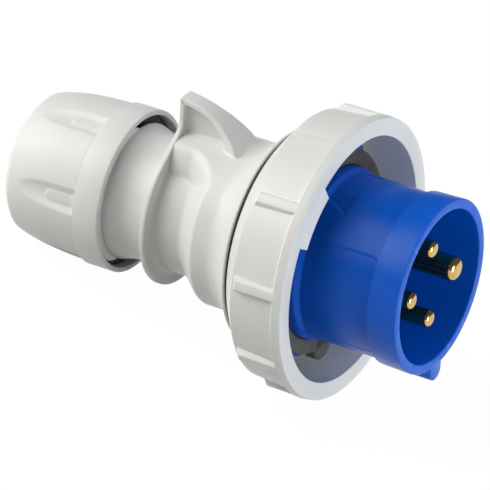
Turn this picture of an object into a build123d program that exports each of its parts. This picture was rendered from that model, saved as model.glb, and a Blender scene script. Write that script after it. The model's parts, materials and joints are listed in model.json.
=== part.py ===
from build123d import *
import os
from math import acos, atan2, cos, degrees, hypot, radians, sin, sqrt, tan

# Industrial pin and sleeve plug: blue shroud with four brass pins, bayonet collar, waisted
# housing with a finger fin, and a cable gland.
#
# Every piece is built in the plug's own frame. x runs along the plug and is zero at the
# shroud's mouth, +X is the way the plug goes in, and +Z is the side of the finger fin.
# A clock angle is counted from +Z towards -Y, in degrees. At the end one placement lays
# the whole plug down, on two ribs of the collar and the back of the gland nut.
# Lengths are in millimetres.

# Clearances
fixed_gap = 0.05
running_gap = 0.08
free_gap = 0.3
overlap = 1.0
slack_angle = 1

# Contact pins
pin_circle = 10.9
line_pin_radius = 2.5
earth_pin_radius = 3.5
line_pin_recess = 2.0
earth_pin_recess = 0.3
pin_tip_round = 0.8
pin_shank_step = 0.3
pin_collar_step = 1.1
pin_collar_length = 2.5
barrel_step = 0.9
barrel_length = 12.0
line_wire_radius = 1.9
earth_wire_radius = 2.3
wire_bore_depth = 9.0
line_pin_clocks = (0, 90, 180)
earth_pin_clock = 270

# Terminal and retainer screws
terminal_screw_radius = 1.5
terminal_screw_length = 4.0
terminal_screw_from_end = 4.5
screw_slot_width = 0.6
screw_slot_depth = 0.8
retainer_screw_clocks = (45, 225)
retainer_screw_circle = 14.5
retainer_screw_radius = 1.4
retainer_screw_depth = 7.0
retainer_head_radius = 2.6
retainer_head_height = 1.8
retainer_thickness = 3.0

# Shroud and insert
mouth_radius = 25.0
mouth_wall = 2.85
mouth_round = 0.4
front_ring_length = 9.05
front_ring_draft = 0.3
neck_radius = 23.7
base_ring_radius = 24.7
base_ring_length = 6.0
base_ring_ramp = 1.3
cavity_draft = 0.5
shroud_depth = 37.0
flange_setback = 38.0
flange_thickness = 2.6
flange_radius = 29.6
flange_ear_radius = 31.3
flange_ear_clocks = (154, 167, 316)
flange_ear_half_angle = 4.5
block_depth = 10.5
spigot_radius = 23.5
spigot_wall = 3.7
spigot_length = 4.5
spigot_end_gap = 1.0
lug_height = 1.4
lug_length = 2.0
lug_setback = 4.0
lug_half_angle = 8
lug_clocks = (90, 270)
lug_turn = 50
key_width = 5.8
key_radius = 28.6
key_round = 3.6
key_edge_round = 0.6
nub_clock = 175
nub_half_angle = 4
nub_height = 1.7
nub_length = 2.6
panel_depth = 0.35
panel_half_height = 14.8
panel_corner = 3.0
panel_margin = 0.6

# Seals
rim_seal_thickness = 0.5
rim_seal_drop = 0.8
gasket_thickness = 3.5
gasket_radius = 29.4
gasket_lobe_clock = 177
gasket_lobe_circle = 28.7
gasket_lobe_radius = 4.5
seal_thickness = 1.5
seal_inner_radius = 24.2
seal_outer_radius = 27.2

# Housing
hub_radius = 27.4
hub_length = 8.2
housing_rim_radius = 30.5
housing_rim_length = 0.6
rim_round = 0.2
cone_length = 5.7
cone_round = 7.5
barrel_radius = 24.1
barrel_wall = 2.9
scoop_centre_setback = 24.2
scoop_floor_radius = 18.4
scoop_floor_half = 2.6
scoop_mouth_half = 9.4
scoop_floor_round = 7.0
scoop_round_share = 0.98
scoop_overrun = 4.0
scoop_start_clock = 40
scoop_wall = 3.0
disc_setback = 30.1
disc_thickness = 1.6
disc_radius = 22.7
disc_core_drop = 1.5
disc_root_round = 1.4
neck_outer_radius = 18.0
neck_bore_radius = 12.4
neck_bore_start = 5.0
neck_bore_ramp = 2.0
neck_root_length = 3.0
neck_root_rise = 2.0
neck_round = 3.0
edge_round = 0.3
lip_setback = 44.9
lip_radius = 19.5
lip_thickness = 1.1
lip_ramp = 4.5

# Stop ledge behind the lip, over part of the turn
ledge_gap = 0.6
ledge_thickness = 0.7
ledge_radius = 21.4
ledge_start_clock = -4
ledge_sweep = 154

# Finger fin
fin_top = 34.8
fin_mid = 32.3
fin_foot = 23.2
fin_mid_share = 0.5
fin_length = 21.0
fin_rear_half_width = 2.7
fin_straight_length = 5.0
fin_front_half_width = 6.0
fin_band = 1.8
fin_web = 1.6
fin_root = 1.6
fin_wall_fillet = 4.5
disc_flank_clock = 36

# Bayonet collar
collar_end_gap = 0.9
collar_length = 22.3
collar_mouth_radius = 35.15
collar_face_radius = 40.2
collar_band_radius = 40.5
collar_band_length = 2.7
collar_band_step = 0.6
panel_front_radius = 39.3
panel_back_radius = 38.3
panel_length = 13.4
collar_back_radius = 31.0
collar_bore_draft = 0.4
collar_floor = 3.4
collar_floor_round = 2.0
journal_wall = 1.9
rib_count = 10
rib_phase = 9
rib_back_radius = 40.3
rib_crest_half_width = 1.3
rib_foot_half_width = 2.2
rib_root = 0.5
rib_end_setback = 0.4
rib_end_chamfer = 1.6
tab_clocks = (45, 225)
tab_half_angle = 14.6
tab_inner_radius = 30.8
tab_thickness = 3.5
stop_clock = 250
stop_half_angle = 4
stop_height = 0.9
stop_length = 2.2
collar_travel = 45

# Gland
boss_radius = 17.0
boss_length = 16.7
claw_seat_radius = 15.0
claw_seat_depth = 6.0
grommet_seat_radius = 13.5
grommet_seat_depth = 2.0
claw_inner_radius = 11.1
claw_base_length = 4.0
claw_finger_length = 12.0
claw_root_radius = 14.4
claw_tip_radius = 11.9
claw_slot_count = 8
claw_slot_width = 1.4
grommet_bore_radius = 6.5
grommet_tail = 15.0
nut_seal_length = 1.9
nut_gap = 0.3
ring_length = 7.8
ring_radius = 23.4
ring_mouth_wall = 1.4
ring_mouth_round = 0.6
ring_step_length = 1.4
cap_front_radius = 22.8
cap_back_radius = 20.0
cap_length = 21.5
cap_bulge_radius = 73.0
cap_end_radius = 14.6
cap_end_length = 3.1
cap_corner_run = 1.7
cap_corner_drop = 1.1
cap_end_round = 2.5
cable_hole_radius = 9.0
cable_hole_round = 1.2
cone_pocket_radius = 15.6
cone_pocket_end = 5.6
cone_pocket_length = 9.4
washer_length = 7.4
flute_count = 6
flute_phase = 19.5
flute_radius = 6.0
flute_depth = 1.2
flute_reach = 16.6
tongue_length = 8.0
tongue_half_width = 1.45
tongue_corner_share = 0.98
tongue_height = 0.7

# Places along the plug, worked out from the lengths above
floor_x = -shroud_depth
flange_front_x = -flange_setback
flange_back_x = flange_front_x - flange_thickness
gasket_front_x = flange_front_x + gasket_thickness
block_back_x = floor_x - block_depth
spigot_back_x = block_back_x - spigot_length
retainer_back_x = block_back_x - retainer_thickness
barrel_back_x = block_back_x - barrel_length - retainer_thickness
hub_front_x = flange_back_x - seal_thickness
rim_x = hub_front_x - hub_length
collar_back_x = rim_x + collar_end_gap
collar_face_x = collar_back_x + collar_length
journal_front_x = flange_back_x - free_gap
panel_front_x = collar_face_x - collar_band_length - collar_band_step
panel_back_x = panel_front_x - panel_length
rib_back_x = panel_back_x + rib_end_setback
scoop_x = rim_x - scoop_centre_setback
disc_x = rim_x - disc_setback
disc_back_x = disc_x - disc_thickness
lip_x = rim_x - lip_setback
lip_back_x = lip_x - lip_thickness
ledge_front_x = lip_back_x - ledge_gap
ledge_back_x = ledge_front_x - ledge_thickness
boss_back_x = lip_back_x - boss_length
claw_seat_x = boss_back_x + claw_seat_depth
grommet_seat_x = claw_seat_x + grommet_seat_depth
nut_front_x = lip_x
nut_seal_back_x = ledge_back_x - nut_seal_length
ring_back_x = nut_front_x - ring_length
skirt_floor_x = nut_seal_back_x - nut_gap
cap_front_x = ring_back_x - ring_step_length
cap_back_x = cap_front_x - cap_length
nut_back_x = cap_back_x - cap_end_length
pocket_back_x = nut_back_x + cone_pocket_end
pocket_front_x = pocket_back_x + cone_pocket_length
mouth_bore = mouth_radius - mouth_wall
skirt_bore = ring_radius - ring_mouth_wall
spigot_bore = spigot_radius - spigot_wall
far_out = 2 * collar_face_radius


def profile(*corners):
    """Closed face in the x-r plane; each corner is x, r and its fillet radius."""
    points = [(x, r) for x, r, _ in corners]
    return make_face(FilletPolyline(*points, radius=[f for _, _, f in corners], close=True))


def turned(*corners):
    """Solid of revolution about the plug's axis."""
    return revolve(profile(*corners), Axis.X)


def at_clock(shape, clock):
    """Turns a shape built on the +Y side to a clock angle."""
    return Rot(90 + clock, 0, 0) * shape


def tube(x_low, x_high, r_low, r_high):
    """Plain ring, or a disc where the inner radius is zero."""
    return turned((x_low, r_low, 0), (x_high, r_low, 0), (x_high, r_high, 0), (x_low, r_high, 0))


def sector(x_low, x_high, r_low, r_high, start, stop):
    """Part of a ring between two clock angles."""
    face = profile((x_low, r_low, 0), (x_high, r_low, 0), (x_high, r_high, 0), (x_low, r_high, 0))
    return at_clock(revolve(face, Axis.X, stop - start), start)


def rod(x_low, x_high, radius, off_axis=0.0):
    """Cylinder along x, off the plug's axis towards +Y."""
    length = x_high - x_low
    return Pos((x_low + x_high) / 2, off_axis, 0) * Rot(0, 90, 0) * Cylinder(radius, length)


def slotted(head, x_back, radius):
    """Cuts a driver slot into the rear end of a screw that lies along x."""
    slot = Box(2 * screw_slot_depth, 4 * radius, screw_slot_width)
    return head - Pos(x_back, 0, 0) * slot


def pin(radius, recess, wire_radius):
    """Contact pin with its collar and the barrel that takes the wire."""
    barrel = radius + barrel_step
    collar = radius + pin_collar_step
    body = turned(
        (-recess, 0, 0),
        (-recess, radius, pin_tip_round),
        (floor_x, radius, 0),
        (floor_x, radius + pin_shank_step, 0),
        (block_back_x + pin_collar_length, radius + pin_shank_step, 0),
        (block_back_x + pin_collar_length, collar, 0),
        (block_back_x, collar, 0),
        (block_back_x, barrel, 0),
        (barrel_back_x, barrel, 0),
        (barrel_back_x, 0, 0),
    )
    wire_bore = rod(barrel_back_x, barrel_back_x + wire_bore_depth, wire_radius)
    screw_hole = Pos(barrel_back_x + terminal_screw_from_end, barrel / 2, 0) * (
        Rot(90, 0, 0) * Cylinder(terminal_screw_radius + fixed_gap, barrel)
    )
    return Pos(0, pin_circle, 0) * (body - wire_bore - screw_hole)


def terminal_screw(wire_radius):
    """Grub screw that clamps the wire, standing out of its barrel."""
    screw = Cylinder(terminal_screw_radius, terminal_screw_length)
    slot = Pos(0, 0, terminal_screw_length / 2) * Box(
        4 * terminal_screw_radius, screw_slot_width, 2 * screw_slot_depth
    )
    foot = pin_circle + wire_radius + fixed_gap
    middle = foot + terminal_screw_length / 2
    return Pos(barrel_back_x + terminal_screw_from_end, middle, 0) * Rot(-90, 0, 0) * (screw - slot)


def pin_retainer():
    """Insulating plate that holds the pin collars in the contact block."""
    plate = tube(retainer_back_x, block_back_x, 0, spigot_bore - fixed_gap)
    for clock in line_pin_clocks:
        hole = rod(retainer_back_x, block_back_x, line_pin_radius + barrel_step + fixed_gap, pin_circle)
        plate -= at_clock(hole, clock)
    earth = rod(retainer_back_x, block_back_x, earth_pin_radius + barrel_step + fixed_gap, pin_circle)
    plate -= at_clock(earth, earth_pin_clock)
    for clock in retainer_screw_clocks:
        hole = rod(
            retainer_back_x, block_back_x, retainer_screw_radius + fixed_gap, retainer_screw_circle
        )
        plate -= at_clock(hole, clock)
    return plate


def retainer_screws():
    """The two screws of the pin retainer, as separate solids."""
    head_back_x = retainer_back_x - retainer_head_height
    shank_front_x = block_back_x + retainer_screw_depth
    screw = slotted(
        rod(head_back_x, retainer_back_x, retainer_head_radius)
        + rod(retainer_back_x, shank_front_x, retainer_screw_radius),
        head_back_x,
        retainer_head_radius,
    )
    placed = Pos(0, retainer_screw_circle, 0) * screw
    return Compound([at_clock(placed, clock).solid() for clock in retainer_screw_clocks])


def pin_passage(radius, clock):
    """Hole through the contact block with the counterbore for the pin's collar."""
    collar_x = block_back_x + pin_collar_length
    hole = rod(collar_x, floor_x, radius + pin_shank_step + fixed_gap, pin_circle)
    counterbore = rod(block_back_x, collar_x, radius + pin_collar_step + fixed_gap, pin_circle)
    return at_clock(hole + counterbore, clock)


def key_lug():
    """Key below the shroud's mouth: straight on one side, round on the other."""
    half = key_width / 2
    outline = FilletPolyline(
        (-half, -neck_radius),
        (-half, -key_radius),
        (half, -key_radius),
        (half, -neck_radius),
        radius=[0, key_edge_round, key_round, 0],
        close=True,
    )
    face = Plane.YZ * make_face(outline)
    return extrude(face, -front_ring_length)


def shroud_insert():
    """Shroud, mounting flange, contact block and rear spigot, moulded in one."""
    base_front_x = flange_front_x + base_ring_length
    body = turned(
        (0, 0, 0),
        (0, mouth_radius, mouth_round),
        (-front_ring_length, mouth_radius - front_ring_draft, 0),
        (-front_ring_length, neck_radius, 0),
        (base_front_x + base_ring_ramp, neck_radius, 0),
        (base_front_x, base_ring_radius, 0),
        (flange_front_x, base_ring_radius, 0),
        (flange_front_x, flange_radius, 0),
        (flange_back_x, flange_radius, 0),
        (flange_back_x, spigot_radius, 0),
        (spigot_back_x, spigot_radius, 0),
        (spigot_back_x, 0, 0),
    )
    body += key_lug()
    for clock in flange_ear_clocks:
        ear = sector(
            flange_back_x,
            flange_front_x,
            flange_radius - overlap,
            flange_ear_radius,
            clock - flange_ear_half_angle,
            clock + flange_ear_half_angle,
        )
        body += ear
    lug_front_x = hub_front_x - lug_setback
    for clock in lug_clocks:
        body += sector(
            lug_front_x - lug_length,
            lug_front_x,
            spigot_bore,
            spigot_radius + lug_height,
            clock - lug_half_angle,
            clock + lug_half_angle,
        )
    body += sector(
        gasket_front_x + fixed_gap,
        gasket_front_x + fixed_gap + nub_length,
        neck_radius - overlap,
        base_ring_radius + nub_height,
        nub_clock - nub_half_angle,
        nub_clock + nub_half_angle,
    )
    body -= turned(
        (0, 0, 0),
        (0, mouth_bore, 0),
        (floor_x, mouth_bore - cavity_draft, 0),
        (floor_x, 0, 0),
    )
    body -= rod(spigot_back_x, block_back_x, spigot_bore)
    for clock in line_pin_clocks:
        body -= pin_passage(line_pin_radius, clock)
    body -= pin_passage(earth_pin_radius, earth_pin_clock)
    for clock in retainer_screw_clocks:
        hole = rod(
            block_back_x,
            block_back_x + retainer_screw_depth + fixed_gap,
            retainer_screw_radius + fixed_gap,
            retainer_screw_circle,
        )
        body -= at_clock(hole, clock)
    return body - label_panel(base_front_x + base_ring_ramp)


def label_panel(back_x):
    """Shallow recess with round corners on the near side of the shroud."""
    front_x = -front_ring_length - panel_margin
    length = front_x - back_x
    middle = (front_x + back_x) / 2
    outline = Pos(middle, 0) * RectangleRounded(length, 2 * panel_half_height, panel_corner)
    block = extrude(Plane.XZ * outline, mouth_radius)
    return block & tube(back_x, front_x, neck_radius - panel_depth, mouth_radius)


def flange_gasket():
    """Rubber ring in front of the insert's flange, with its round lobe."""
    ring = tube(flange_front_x, gasket_front_x, 0, gasket_radius)
    lobe = rod(flange_front_x, gasket_front_x, gasket_lobe_radius, gasket_lobe_circle)
    hole = tube(flange_front_x, gasket_front_x, 0, base_ring_radius + fixed_gap)
    return ring + at_clock(lobe, gasket_lobe_clock) - hole


def housing_seal():
    """Flat ring pressed between the insert's flange and the housing's hub."""
    return tube(hub_front_x, flange_back_x, seal_inner_radius, seal_outer_radius)


def rim_seal():
    """Dark ring on the hub, in the gap between the housing's rim and the collar."""
    outer = housing_rim_radius - rim_seal_drop
    return tube(rim_x, rim_x + rim_seal_thickness, hub_radius + fixed_gap, outer)


def scoop():
    """Cutter for the finger scoop: a channel up to the disc, with round front corners."""
    slope = (barrel_radius - scoop_floor_radius) / (scoop_mouth_half - scoop_floor_half)
    bend = atan2(slope, 1)
    floor_round = min(scoop_floor_round, scoop_floor_half / tan(bend / 2) * scoop_round_share)
    lip_height = barrel_radius + scoop_overrun
    lip_half = scoop_mouth_half + scoop_overrun / slope
    half = profile(
        (scoop_x, lip_height, 0),
        (scoop_x, scoop_floor_radius, 0),
        (scoop_x + scoop_floor_half, scoop_floor_radius, floor_round),
        (scoop_x + lip_half, lip_height, 0),
    )
    rear = profile(
        (disc_back_x, lip_height, 0),
        (disc_back_x, scoop_floor_radius, 0),
        (scoop_x, scoop_floor_radius, 0),
        (scoop_x, lip_height, 0),
    )
    corner = revolve(half, Axis((scoop_x, 0, 0), (0, 1, 0)))
    end = section(corner, section_by=Plane.YZ.offset(scoop_x))
    end = corner + extrude(end, disc_back_x - scoop_x, dir=(1, 0, 0))
    sweep = 360 - 2 * scoop_start_clock
    cutter = at_clock(revolve(half + rear, Axis.X, sweep), scoop_start_clock)
    for clock in (scoop_start_clock, 360 - scoop_start_clock):
        cutter += at_clock(end, clock)
    return cutter


def fin_side(bottom):
    """Side outline of the fin, from the rear wall round the arc to the foot."""
    rear = (disc_back_x, fin_top)
    mid = (disc_back_x + fin_length * fin_mid_share, fin_mid)
    foot = (disc_back_x + fin_length, fin_foot)
    arc = ThreePointArc(rear, mid, foot)
    rest = Polyline(foot, (foot[0], bottom), (disc_back_x, bottom), rear)
    return make_face([arc, rest])


def fin():
    """Finger fin with an outer band, a web and a pocket on each side."""
    front_x = disc_back_x + fin_length
    flare_x = disc_back_x + fin_straight_length
    plan = make_face(
        [
            TangentArc(
                (flare_x, fin_rear_half_width), (front_x, fin_front_half_width), tangent=(1, 0)
            ),
            TangentArc(
                (flare_x, -fin_rear_half_width), (front_x, -fin_front_half_width), tangent=(1, 0)
            ),
            Line((front_x, fin_front_half_width), (front_x, -fin_front_half_width)),
            Polyline(
                (flare_x, fin_rear_half_width),
                (disc_back_x, fin_rear_half_width),
                (disc_back_x, -fin_rear_half_width),
                (flare_x, -fin_rear_half_width),
            ),
        ]
    )
    root = barrel_radius - fin_root
    block = extrude(Plane.XZ * fin_side(root), fin_front_half_width, both=True)
    body = block & extrude(plan, fin_top + fin_band)
    pocket = offset(fin_side(root - 4 * fin_band), -fin_band)
    reach = fin_front_half_width + fin_band
    cut = extrude(Plane.XZ * pocket, reach, both=True)
    web = Box(far_out, fin_web, far_out)
    web = Pos(disc_back_x, 0, fin_top) * web
    return body - (cut - web)


def disc_plate():
    """Thin disc flange with straight flanks that rise into the fin's rear wall."""
    rise = radians(disc_flank_clock)
    side, top = disc_radius * sin(rise), disc_radius * cos(rise)
    corner = top + (side - fin_rear_half_width) * tan(rise)
    round_part = ThreePointArc((side, top), (0, -disc_radius), (-side, top))
    flanks = FilletPolyline(
        (-side, top),
        (-fin_rear_half_width, corner),
        (-fin_rear_half_width, fin_top),
        (fin_rear_half_width, fin_top),
        (fin_rear_half_width, corner),
        (side, top),
        radius=[fin_wall_fillet, 0, 0, fin_wall_fillet],
    )
    outline = make_face([round_part, flanks])
    return extrude(Plane.YZ.offset(disc_back_x) * outline, disc_thickness)


def housing():
    """Handle with its hub, barrel, scoop, disc, fin, lip and rear boss."""
    front = turned(
        (hub_front_x, 0, 0),
        (hub_front_x, hub_radius, edge_round),
        (rim_x, hub_radius, 0),
        (rim_x, housing_rim_radius, rim_round),
        (rim_x - housing_rim_length, housing_rim_radius, rim_round),
        (rim_x - housing_rim_length - cone_length, barrel_radius, cone_round),
        (disc_x, barrel_radius, 0),
        (disc_x, 0, 0),
    )
    front -= scoop()
    neck = turned(
        (scoop_x, 0, 0),
        (scoop_x, scoop_floor_radius, 0),
        (disc_x, scoop_floor_radius, disc_root_round),
        (disc_x, disc_radius - disc_core_drop, 0),
        (disc_back_x, disc_radius - disc_core_drop, 0),
        (disc_back_x, neck_outer_radius + neck_root_rise, 0),
        (disc_back_x - neck_root_length, neck_outer_radius, neck_round),
        (lip_x + lip_ramp, neck_outer_radius, neck_round),
        (lip_x, lip_radius, edge_round),
        (lip_back_x, lip_radius, edge_round),
        (lip_back_x, boss_radius, 0),
        (boss_back_x, boss_radius, 0),
        (boss_back_x, 0, 0),
    )
    ledge = sector(
        ledge_back_x,
        ledge_front_x,
        boss_radius - overlap,
        ledge_radius,
        ledge_start_clock,
        ledge_start_clock + ledge_sweep,
    )
    body = front + neck + disc_plate() + fin() + ledge
    body -= housing_bore()
    lug_front_x = hub_front_x - lug_setback
    groove_radius = spigot_radius + lug_height + 2 * fixed_gap
    for clock in lug_clocks:
        body -= sector(
            lug_front_x - lug_length - fixed_gap,
            lug_front_x + fixed_gap,
            spigot_radius - overlap,
            groove_radius,
            clock - lug_half_angle - slack_angle,
            clock + lug_half_angle + lug_turn,
        )
        body -= sector(
            lug_front_x - lug_length,
            hub_front_x + overlap,
            spigot_radius - overlap,
            groove_radius,
            clock + lug_turn - lug_half_angle - slack_angle,
            clock + lug_turn + lug_half_angle,
        )
    body += sector(
        hub_front_x - stop_length - free_gap,
        hub_front_x - free_gap,
        hub_radius - overlap,
        hub_radius + stop_height,
        stop_clock - stop_half_angle,
        stop_clock + stop_half_angle,
    )
    return body


def housing_bore():
    """Everything hollow inside the housing, from the hub to the rear boss."""
    ledge_x = spigot_back_x - spigot_end_gap
    wide = barrel_radius - barrel_wall
    narrow = scoop_floor_radius - scoop_wall
    run = scoop_mouth_half - scoop_floor_half
    shift = scoop_wall / 4
    return turned(
        (hub_front_x, 0, 0),
        (hub_front_x, spigot_radius + fixed_gap, 0),
        (ledge_x, spigot_radius + fixed_gap, 0),
        (ledge_x, wide, 0),
        (scoop_x + scoop_mouth_half + shift, wide, 0),
        (scoop_x + scoop_mouth_half + shift - run, narrow, 0),
        (disc_back_x - neck_bore_start, narrow, 0),
        (disc_back_x - neck_bore_start - neck_bore_ramp, neck_bore_radius, 0),
        (grommet_seat_x, neck_bore_radius, 0),
        (grommet_seat_x, grommet_seat_radius, 0),
        (claw_seat_x, grommet_seat_radius, 0),
        (claw_seat_x, claw_seat_radius, 0),
        (boss_back_x, claw_seat_radius, 0),
        (boss_back_x, 0, 0),
    )


def collar_rib():
    """One grip rib, on the +Y side: flush with the band in front, chamfered at its back end."""
    foot = panel_back_radius - rib_root
    front_x = collar_face_x - collar_band_length
    side = profile(
        (front_x, foot, 0),
        (front_x, collar_band_radius, 0),
        (rib_back_x + rib_end_chamfer, rib_back_radius, 0),
        (rib_back_x, foot, 0),
    )
    section = make_face(
        Polyline(
            (foot, -rib_foot_half_width),
            (collar_band_radius, -rib_crest_half_width),
            (collar_band_radius, rib_crest_half_width),
            (foot, rib_foot_half_width),
            close=True,
        )
    )
    bar = extrude(Plane.YZ.offset(rib_back_x) * section, front_x - rib_back_x)
    return bar & extrude(side, rib_foot_half_width, both=True)


def bayonet_collar():
    """Ribbed ring that turns on the housing's hub and holds the plug in its socket."""
    bore = hub_radius + running_gap
    journal = bore + journal_wall
    floor_back_x = collar_back_x + collar_floor
    ring = turned(
        (collar_back_x, bore, 0),
        (journal_front_x, bore, 0),
        (journal_front_x, journal, 0),
        (floor_back_x, journal, 0),
        (floor_back_x, collar_mouth_radius - collar_bore_draft, collar_floor_round),
        (collar_face_x, collar_mouth_radius, 0),
        (collar_face_x, collar_face_radius, edge_round),
        (collar_face_x - collar_band_length, collar_band_radius, rim_round),
        (panel_front_x, panel_front_radius, 0),
        (panel_back_x, panel_back_radius, edge_round),
        (collar_back_x, collar_back_radius, edge_round),
    )
    for number in range(rib_count):
        ring += at_clock(collar_rib(), rib_phase + number * 360 / rib_count)
    for clock in tab_clocks:
        ring += sector(
            collar_face_x - tab_thickness,
            collar_face_x,
            tab_inner_radius,
            collar_mouth_radius + overlap,
            clock - tab_half_angle,
            clock + tab_half_angle,
        )
    ring -= sector(
        hub_front_x - stop_length - 2 * free_gap,
        journal_front_x + overlap,
        hub_radius,
        hub_radius + stop_height + free_gap,
        stop_clock - stop_half_angle - collar_travel - slack_angle,
        stop_clock + stop_half_angle + slack_angle,
    )
    return ring


def nut_seal():
    """Black ring on the boss, behind the housing's stop ledge."""
    return tube(nut_seal_back_x, ledge_back_x, boss_radius + fixed_gap, skirt_bore - free_gap)


def cap_arc_centre():
    """Centre of the arc that the gland nut's side follows, in x and r."""
    run = cap_back_x - cap_front_x
    rise = cap_back_radius - cap_front_radius
    chord = hypot(run, rise)
    inward = sqrt(cap_bulge_radius**2 - (chord / 2) ** 2)
    middle_x = (cap_front_x + cap_back_x) / 2
    middle_r = (cap_front_radius + cap_back_radius) / 2
    return middle_x - inward * rise / chord, middle_r + inward * run / chord


def gland_nut():
    """Rear nut: smooth front ring, fluted cap, thread bore and the pocket for the washer."""
    centre_x, centre_r = cap_arc_centre()
    middle_x = (cap_front_x + cap_back_x) / 2
    middle_r = centre_r + sqrt(cap_bulge_radius**2 - (middle_x - centre_x) ** 2)
    side = ThreePointArc(
        (cap_front_x, cap_front_radius), (middle_x, middle_r), (cap_back_x, cap_back_radius)
    )
    end = FilletPolyline(
        (cap_back_x, cap_back_radius),
        (cap_back_x - cap_corner_run, cap_back_radius - cap_corner_drop),
        (nut_back_x, cap_end_radius),
        (nut_back_x, 0),
        radius=[cap_end_round, cap_end_round],
    )
    front = Polyline(
        (nut_back_x, 0),
        (cap_front_x, 0),
        (cap_front_x, cap_front_radius),
    )
    cap = revolve(make_face([side, end, front]), Axis.X)
    ring = turned(
        (nut_front_x, 0, 0),
        (nut_front_x, ring_radius, ring_mouth_round),
        (ring_back_x, ring_radius, edge_round),
        (cap_front_x, cap_front_radius, 0),
        (cap_front_x, 0, 0),
    )
    for number in range(flute_count):
        cap -= at_clock(flute(), flute_phase + number * 360 / flute_count)
    body = cap + ring
    thread_bore = boss_radius + running_gap
    body -= turned(
        (nut_front_x, 0, 0),
        (nut_front_x, skirt_bore, 0),
        (skirt_floor_x, skirt_bore, 0),
        (skirt_floor_x, thread_bore, 0),
        (pocket_front_x, thread_bore, 0),
        (pocket_front_x, cone_pocket_radius, 0),
        (pocket_back_x, cone_pocket_radius, 0),
        (pocket_back_x, cable_hole_radius, 0),
        (nut_back_x + cable_hole_round, cable_hole_radius, 0),
        (nut_back_x, cable_hole_radius + cable_hole_round, 0),
        (nut_back_x, 0, 0),
    )
    return body


def flute():
    """Cutter for one grip flute, pointed at the back and deepest at the front."""
    floor = cap_front_radius - flute_depth
    centre_x, centre_r = cap_arc_centre()
    tip = centre_r + sqrt(cap_bulge_radius**2 - (cap_front_x - flute_reach - centre_x) ** 2)
    slope = degrees(atan2(floor - tip, flute_reach))
    cutter = Rot(0, 90, 0) * Cylinder(flute_radius, 3 * flute_reach)
    cutter = Pos(cap_front_x, floor + flute_radius, 0) * Rot(0, 0, slope) * cutter
    tongue = Pos(cap_front_x - tongue_length / 2, 0) * RectangleRounded(
        tongue_length + 2 * tongue_half_width,
        2 * tongue_half_width,
        tongue_corner_share * tongue_half_width,
    )
    pad_depth = 2 * (tongue_height + flute_depth)
    pad = extrude(Plane.XZ.offset(-floor - tongue_height) * tongue, pad_depth)
    return cutter - pad


def cable_clamp():
    """Slotted claw that the nut squeezes round the cable."""
    base_back_x = claw_seat_x - claw_base_length
    claw = turned(
        (claw_seat_x, claw_inner_radius, 0),
        (claw_seat_x, claw_seat_radius - fixed_gap, 0),
        (base_back_x, claw_seat_radius - fixed_gap, 0),
        (base_back_x, claw_root_radius, 0),
        (base_back_x - claw_finger_length, claw_tip_radius, 0),
        (base_back_x - claw_finger_length, claw_inner_radius, 0),
    )
    slot = Pos(base_back_x - claw_finger_length, 0, 0) * Box(
        2 * claw_finger_length, far_out, claw_slot_width
    )
    for number in range(claw_slot_count // 2):
        claw -= Rot(number * 360 / claw_slot_count, 0, 0) * slot
    return claw


def cable_grommet():
    """Rubber tube that seals on the cable, with its flange in the boss."""
    collar_back = claw_seat_x
    outer = claw_inner_radius - fixed_gap
    return turned(
        (grommet_seat_x, grommet_bore_radius, 0),
        (grommet_seat_x, grommet_seat_radius - fixed_gap, 0),
        (collar_back, grommet_seat_radius - fixed_gap, 0),
        (collar_back, outer, 0),
        (collar_back - grommet_tail, outer, 0),
        (collar_back - grommet_tail, grommet_bore_radius, 0),
    )


def slip_washer():
    """Cone ring that lets the nut turn without twisting the claw."""
    back_x = pocket_back_x + running_gap
    front_x = back_x + washer_length
    outer = cone_pocket_radius - running_gap
    base_back_x = claw_seat_x - claw_base_length
    fall = (claw_root_radius - claw_tip_radius) / claw_finger_length
    at_front = claw_root_radius - fall * (base_back_x - front_x) + free_gap
    at_back = at_front - fall * washer_length
    return turned(
        (back_x, at_back, 0),
        (front_x, at_front, 0),
        (front_x, outer, 0),
        (back_x, outer, 0),
    )


def rest_angles():
    """Roll about the axis and nose-up tilt at which collar and gland nut touch the ground."""
    pitch = 360 / rib_count
    lowest_clock = rib_phase + pitch * (rib_count // 2 - 0.5)
    roll = 180 - lowest_clock
    half_pitch = radians(pitch / 2)
    crest_fall = collar_band_radius - rib_back_radius
    side_slope = (rib_foot_half_width - rib_crest_half_width) / (
        collar_band_radius - panel_back_radius + rib_root
    )
    back_half_width = rib_crest_half_width + side_slope * crest_fall
    rib_drop = rib_back_radius * cos(half_pitch) + back_half_width * sin(half_pitch)
    centre_x, centre_r = cap_arc_centre()
    tilt = 0
    for x, drop in ((rib_back_x + rib_end_chamfer, rib_drop), (panel_back_x, panel_back_radius)):
        along = x - centre_x
        below = drop - centre_r
        lean = acos(cap_bulge_radius / hypot(along, below)) - atan2(along, below)
        if lean > tilt:
            tilt = lean
            height = drop * cos(tilt) - x * sin(tilt)
    return roll, degrees(tilt), height


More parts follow.
